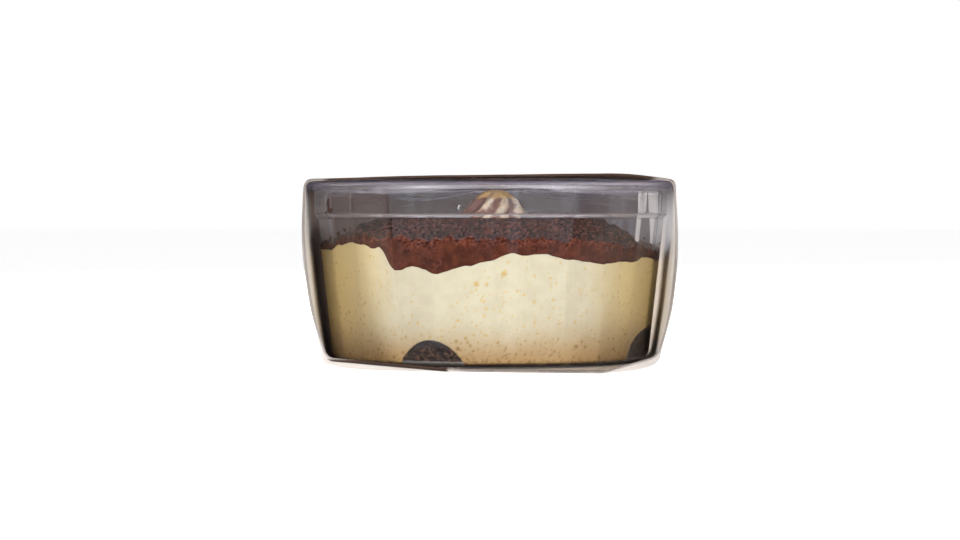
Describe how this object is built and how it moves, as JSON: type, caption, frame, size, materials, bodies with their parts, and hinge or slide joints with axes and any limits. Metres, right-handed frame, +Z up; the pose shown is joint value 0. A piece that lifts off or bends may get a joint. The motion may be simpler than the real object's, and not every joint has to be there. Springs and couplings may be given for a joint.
{
  "type": "tiramisu in a clear pot with a carton sleeve",
  "caption": "Single tiramisu portion: pale cream, cocoa layer, soaked sponge and a piped swirl in a clear faceted pot with film lid, inside an open-ended carton sleeve.",
  "frame": {"origin": "centre of the sleeve's underside, where the pack stands on a table", "axes": "+Z up through the film lid, +Y along the sleeve from its near open end to its far open end, +X to the right seen from the near end"},
  "size_m": [0.0984, 0.1, 0.0495],
  "materials": {
    "carton_board": "uncoated grey-white board inside, pale outside with dark brown printed top and lower left fold",
    "clear_plastic": "clear thermoformed plastic, glossy",
    "lid_film": "thin clear peel film, glossy and slightly creased",
    "mascarpone_cream": "aerated cream, moist, with fine bubbles, tanned by coffee at the bottom",
    "cocoa": "wet cocoa cream at the wall, dry dusted cocoa on top",
    "soaked_sponge": "porous sponge soaked with coffee, damp",
    "swirl_cream": "piped cream dusted with cocoa, golden where the film presses on it"
  },
  "bodies": {
    "root": {"sleeve": "carton_board", "pot": "clear_plastic", "film_lid": "lid_film", "cream": "mascarpone_cream", "cocoa_layer": "cocoa", "sponge_front": "soaked_sponge", "sponge_right": "soaked_sponge", "cream_swirl": "swirl_cream"}
  },
  "joints": []
}
